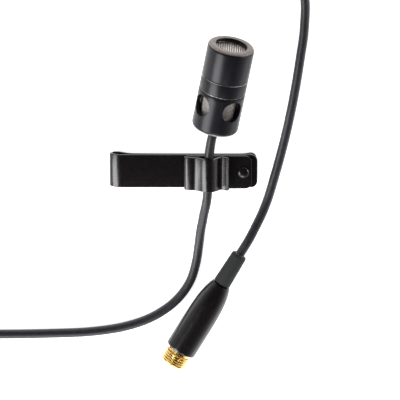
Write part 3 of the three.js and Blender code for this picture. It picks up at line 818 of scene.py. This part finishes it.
def plug_barrel():
    soft, bore = 0.18, 1.75
    rows = [(barrel_radius(z), z) for z in np.linspace(BARREL_START + soft, BARREL_END - soft, 40)]
    nose, end = rows[0][0], rows[-1][0]
    inside = [(barrel_radius(z) - BARREL_WALL, z) for z in np.linspace(BARREL_END, BARREL_START + 3, 12)]
    outline = [
        (bore, BARREL_START), (nose - soft, BARREL_START), (nose - 0.05, BARREL_START + 0.05), *rows,
        (end - 0.05, BARREL_END - 0.05), (end - soft, BARREL_END), *inside, (bore, BARREL_START + 1.8),
    ]
    barrel = lathe("plug_body", outline, "gloss_black", PLUG, 96)
    return add(barrel, "rear_leaf", "gloss_black", "plug_barrel")


def slotted_radius(angle):
    """The neck's radius at an angle, with four shallow key slots."""
    quarter = TURN / 4
    from_slot = abs((angle / quarter) % 1 - 0.5) * quarter * NECK_R
    return SLOT_ROOT_R if from_slot < SLOT_WIDTH / 2 else NECK_R


def thread_radius(z):
    """The helical ridge's radius at an angle, fading out at both ends of the thread."""
    def radius(angle):
        phase = ((z - THREAD_START) / THREAD_PITCH - angle / TURN) % 1
        ridge = min(1, max(0, 1.7 - 4 * abs(phase - 0.5)))
        fade = min(1, (z - THREAD_START) / 0.3, (THREAD_END - z) / 0.45)
        return THREAD_ROOT_R + (THREAD_R - THREAD_ROOT_R) * ridge * max(0, fade)
    return radius


def threaded_shell():
    """The gold end: a collar inside the barrel, a neck with key slots, and the thread."""
    collar = BARREL_R - BARREL_WALL - 0.1
    bore = 2.35
    inside = BARREL_END - 3
    neck_start = BARREL_END + 0.3
    slot_start, slot_end = BARREL_END + 0.42, BARREL_END + 0.98
    neck = [
        (NECK_R, neck_start), (NECK_R, slot_start), (slotted_radius, slot_start + 0.02),
        (slotted_radius, slot_end - 0.02), (NECK_R, slot_end),
    ]
    thread = [(thread_radius(z), z) for z in np.linspace(THREAD_START, THREAD_END - 0.08, 60)]
    outline = [
        (bore, inside), (collar, inside), (collar, neck_start), *neck, (NECK_R, THREAD_START - 0.04),
        *thread, (THREAD_ROOT_R - 0.1, THREAD_END), (bore + 0.06, THREAD_END), (bore, THREAD_END - 0.06),
    ]

    def low_lying(r, z):
        """Faces ahead of the collar: near the slots' floor on the neck, and the thread's grooves, which
        take a darker gold as painted shade.
        """
        if z <= neck_start:
            return False
        if z < THREAD_START:
            return r < SLOT_ROOT_R + 0.05
        return bore + 0.2 < r < THREAD_ROOT_R + 0.12

    shell = lathe("plug_shell", outline, "gold", PLUG, 120)
    # The grooves and slot floors take the darker gold as painted shade.
    accent(shell, "gold_groove_painted_shade", low_lying)
    return add(shell, "rear_leaf", "gold", "plug_threaded_shell")


def plug_pins():
    made = []
    foot, tip = BARREL_END - 2.4, THREAD_END + 0.5
    outline = [
        (0, foot), (PIN_R, foot), (PIN_R, tip - 0.3), (0.29, tip - 0.14), (0.18, tip - 0.03), (0, tip),
    ]
    for i in range(PIN_COUNT):
        angle = TURN * i / PIN_COUNT + math.pi / 2
        offset = Vector((PIN_RING_R * math.cos(angle), PIN_RING_R * math.sin(angle), 0)) * MM
        pin = lathe(f"plug_contact_{i + 1}", outline, "gold", PLUG @ Matrix.Translation(offset), 24)
        made.append(add(pin, "rear_leaf", "gold", f"plug_pin_{i + 1}"))
    return made


# ---------------------------------------------------------------- pieces kept from CAD
def paint_kept_nodes():
    """Inner pieces keep their CAD shape and take the record's slot as a fuller material."""
    for entry in frame["record"]["subparts"]:
        node = frame["nodes"][entry["node"]]
        if node.hide_render:
            continue
        node.data.materials.clear()
        node.data.materials.append(LOOKS[entry["material_slot"]])


# ---------------------------------------------------------------- stage
FLOOR_SIZE = 6
FLOOR_DROP = 0.0001
FLOOR_GLOW = 0.85


def light_table():
    """A pale floor that glows softly, so that it stays white and lights the object's lower edges."""
    bpy.ops.mesh.primitive_plane_add(size=FLOOR_SIZE, location=(0, 0, -FLOOR_DROP))
    floor = bpy.context.object
    floor.name = "floor"
    look = LOOKS["floor"]
    principled = look.node_tree.nodes["Principled BSDF"]
    principled.inputs["Emission Color"].default_value = (1, 1, 1, 1)
    principled.inputs["Emission Strength"].default_value = FLOOR_GLOW
    floor.data.materials.append(look)


def studio_walls():
    """Surroundings that are bright near the horizon and dim overhead, as in a light tent."""
    world = bpy.data.worlds.new("studio")
    bpy.context.scene.world = world
    world.use_nodes = True
    tree = world.node_tree
    place = tree.nodes.new("ShaderNodeTexCoord")
    parts = tree.nodes.new("ShaderNodeSeparateXYZ")
    ramp = tree.nodes.new("ShaderNodeValToRGB")
    tree.links.new(place.outputs["Generated"], parts.inputs["Vector"])
    tree.links.new(parts.outputs["Z"], ramp.inputs["Fac"])
    tree.links.new(ramp.outputs["Color"], tree.nodes["Background"].inputs["Color"])
    stops = [(0.0, 0.95), (0.3, 0.6), (0.62, 0.12), (0.85, 0.05)]
    ramp.color_ramp.elements.remove(ramp.color_ramp.elements[1])
    for i, (height, value) in enumerate(stops):
        stop = ramp.color_ramp.elements[0] if i == 0 else ramp.color_ramp.elements.new(height)
        stop.position = height
        stop.color = (value, value, value * 1.02, 1)


def lamps():
    for name, place, size, power in (
        ("left", (-0.58, -0.33, 0.43), 0.45, 6.5),
        ("front", (-0.1, -0.7, 0.4), 0.4, 3),
        ("right", (0.65, 0.1, 0.25), 0.2, 1.5),
    ):
        lamp = bpy.data.lights.new(name, "AREA")
        lamp.size = size
        lamp.energy = power
        obj = bpy.data.objects.new(name, lamp)
        obj.location = place
        obj.rotation_euler = (Vector((0, -0.02, 0)) - Vector(place)).to_track_quat("-Z", "Y").to_euler()
        bpy.context.scene.collection.objects.link(obj)


def make_stage():
    light_table()
    studio_walls()
    lamps()
    bpy.context.scene.view_settings.view_transform = "Standard"


# ---------------------------------------------------------------- assembly
make_camera()
(stretch, rising), (cable, lying) = free_cable()
front_cap()
front_grille()
front_felt()
coupling_ring()
rear_shell()
port_screen()
port_shade_sleeve()
cable_bushing()
head_cable()
front_leaf()
rear_leaf()
holder_base()
holder_spring()
holder_rivet()
ties = coil_ties()
plug_pieces = [strain_relief(), plug_barrel(), threaded_shell(), *plug_pins()]
paint_kept_nodes()
make_stage()
